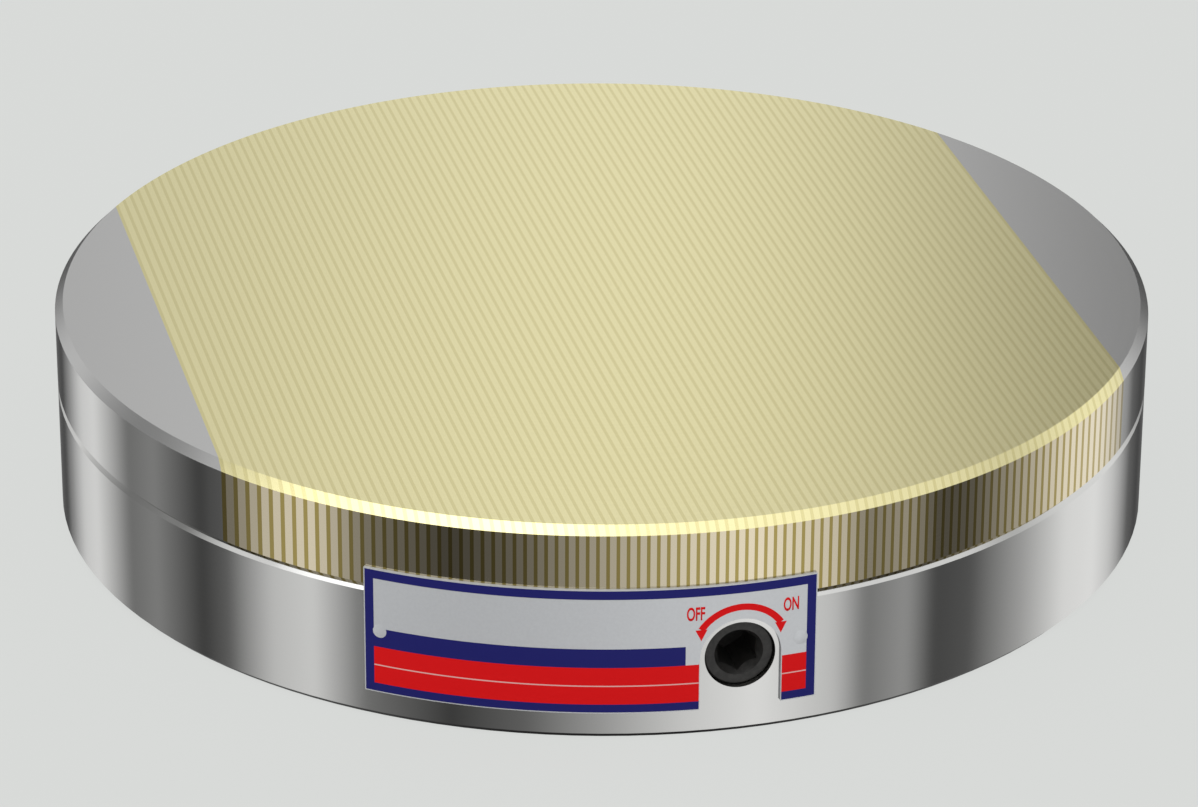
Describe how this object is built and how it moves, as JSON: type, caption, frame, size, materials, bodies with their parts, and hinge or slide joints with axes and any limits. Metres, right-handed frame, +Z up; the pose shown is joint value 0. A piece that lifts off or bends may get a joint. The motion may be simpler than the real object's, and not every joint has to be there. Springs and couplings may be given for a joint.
{
  "type": "magnetic chuck",
  "caption": "Round permanent magnetic chuck with a fine brass-and-steel laminated face, a hex-key eccentric switch on its side and a sliding magnet pack inside.",
  "frame": {"origin": "centre of the round pilot recess in the underside, level with the base", "axes": "+Z up out of the work face, -Y towards the key socket, +X to the socket's right"},
  "size_m": [0.3, 0.3008, 0.06],
  "materials": {
    "housing_steel": "turned and ground steel",
    "face_steel": "ground steel",
    "pole_steel": "ground steel laminations",
    "spacer_brass": "ground brass laminations",
    "screw_black": "black-oxide alloy steel",
    "dowel_steel": "ground hardened steel",
    "seal_rubber": "nitrile rubber",
    "shaft_black": "black-oxide steel",
    "bearing_bronze": "turned bronze",
    "guide_brass": "milled brass",
    "carrier_aluminium": "turned aluminium",
    "bar_steel": "ground steel",
    "magnet_black": "coated permanent magnet",
    "yoke_steel": "milled steel",
    "zinc_steel": "zinc-plated steel",
    "plate_aluminium": "printed aluminium",
    "rivet_aluminium": "aluminium"
  },
  "bodies": {
    "base": {"housing": "housing_steel", "side_segment_left": "face_steel", "side_segment_right": "face_steel", "pole_strips": "pole_steel", "brass_spacers": "spacer_brass", "plate_screws": "screw_black", "locating_dowels": "dowel_steel", "face_seal": "seal_rubber", "guide_keys": "guide_brass", "guide_key_screws": "zinc_steel", "shaft_bush": "bearing_bronze", "limit_screw": "screw_black", "nameplate": "plate_aluminium", "nameplate_rivets": "rivet_aluminium"},
    "key_shaft": {"eccentric_shaft": "shaft_black", "shaft_seal_ring": "seal_rubber"},
    "sliding_block": {"slide_block": "bearing_bronze"},
    "magnet_pack": {"carrier_plate": "carrier_aluminium", "retaining_ring": "carrier_aluminium", "retaining_ring_screws": "zinc_steel", "pack_pole_bars": "bar_steel", "magnet_blocks": "magnet_black", "drive_yoke": "yoke_steel", "drive_yoke_screws": "zinc_steel"}
  },
  "joints": [
    {"name": "shaft_turn", "type": "hinge", "parent": "base", "child": "key_shaft", "pos_m": [0, -0.129, 0.0222], "axis": [0, 1, 0], "range_deg": [0, 180]},
    {"name": "block_swivel", "type": "hinge", "parent": "key_shaft", "child": "sliding_block", "pos_m": [-0.00375, -0.118, 0.0222], "axis": [0, 1, 0], "range_deg": [-180, 0]},
    {"name": "pack_slide", "type": "slide", "parent": "base", "child": "magnet_pack", "axis": [1, 0, 0], "range_m": [0, 0.0075]}
  ],
  "couplings": [
    {"joint": "shaft_turn", "follows": "pack_slide", "rad_per_m": 418.87},
    {"joint": "block_swivel", "follows": "pack_slide", "rad_per_m": -418.87}
  ]
}
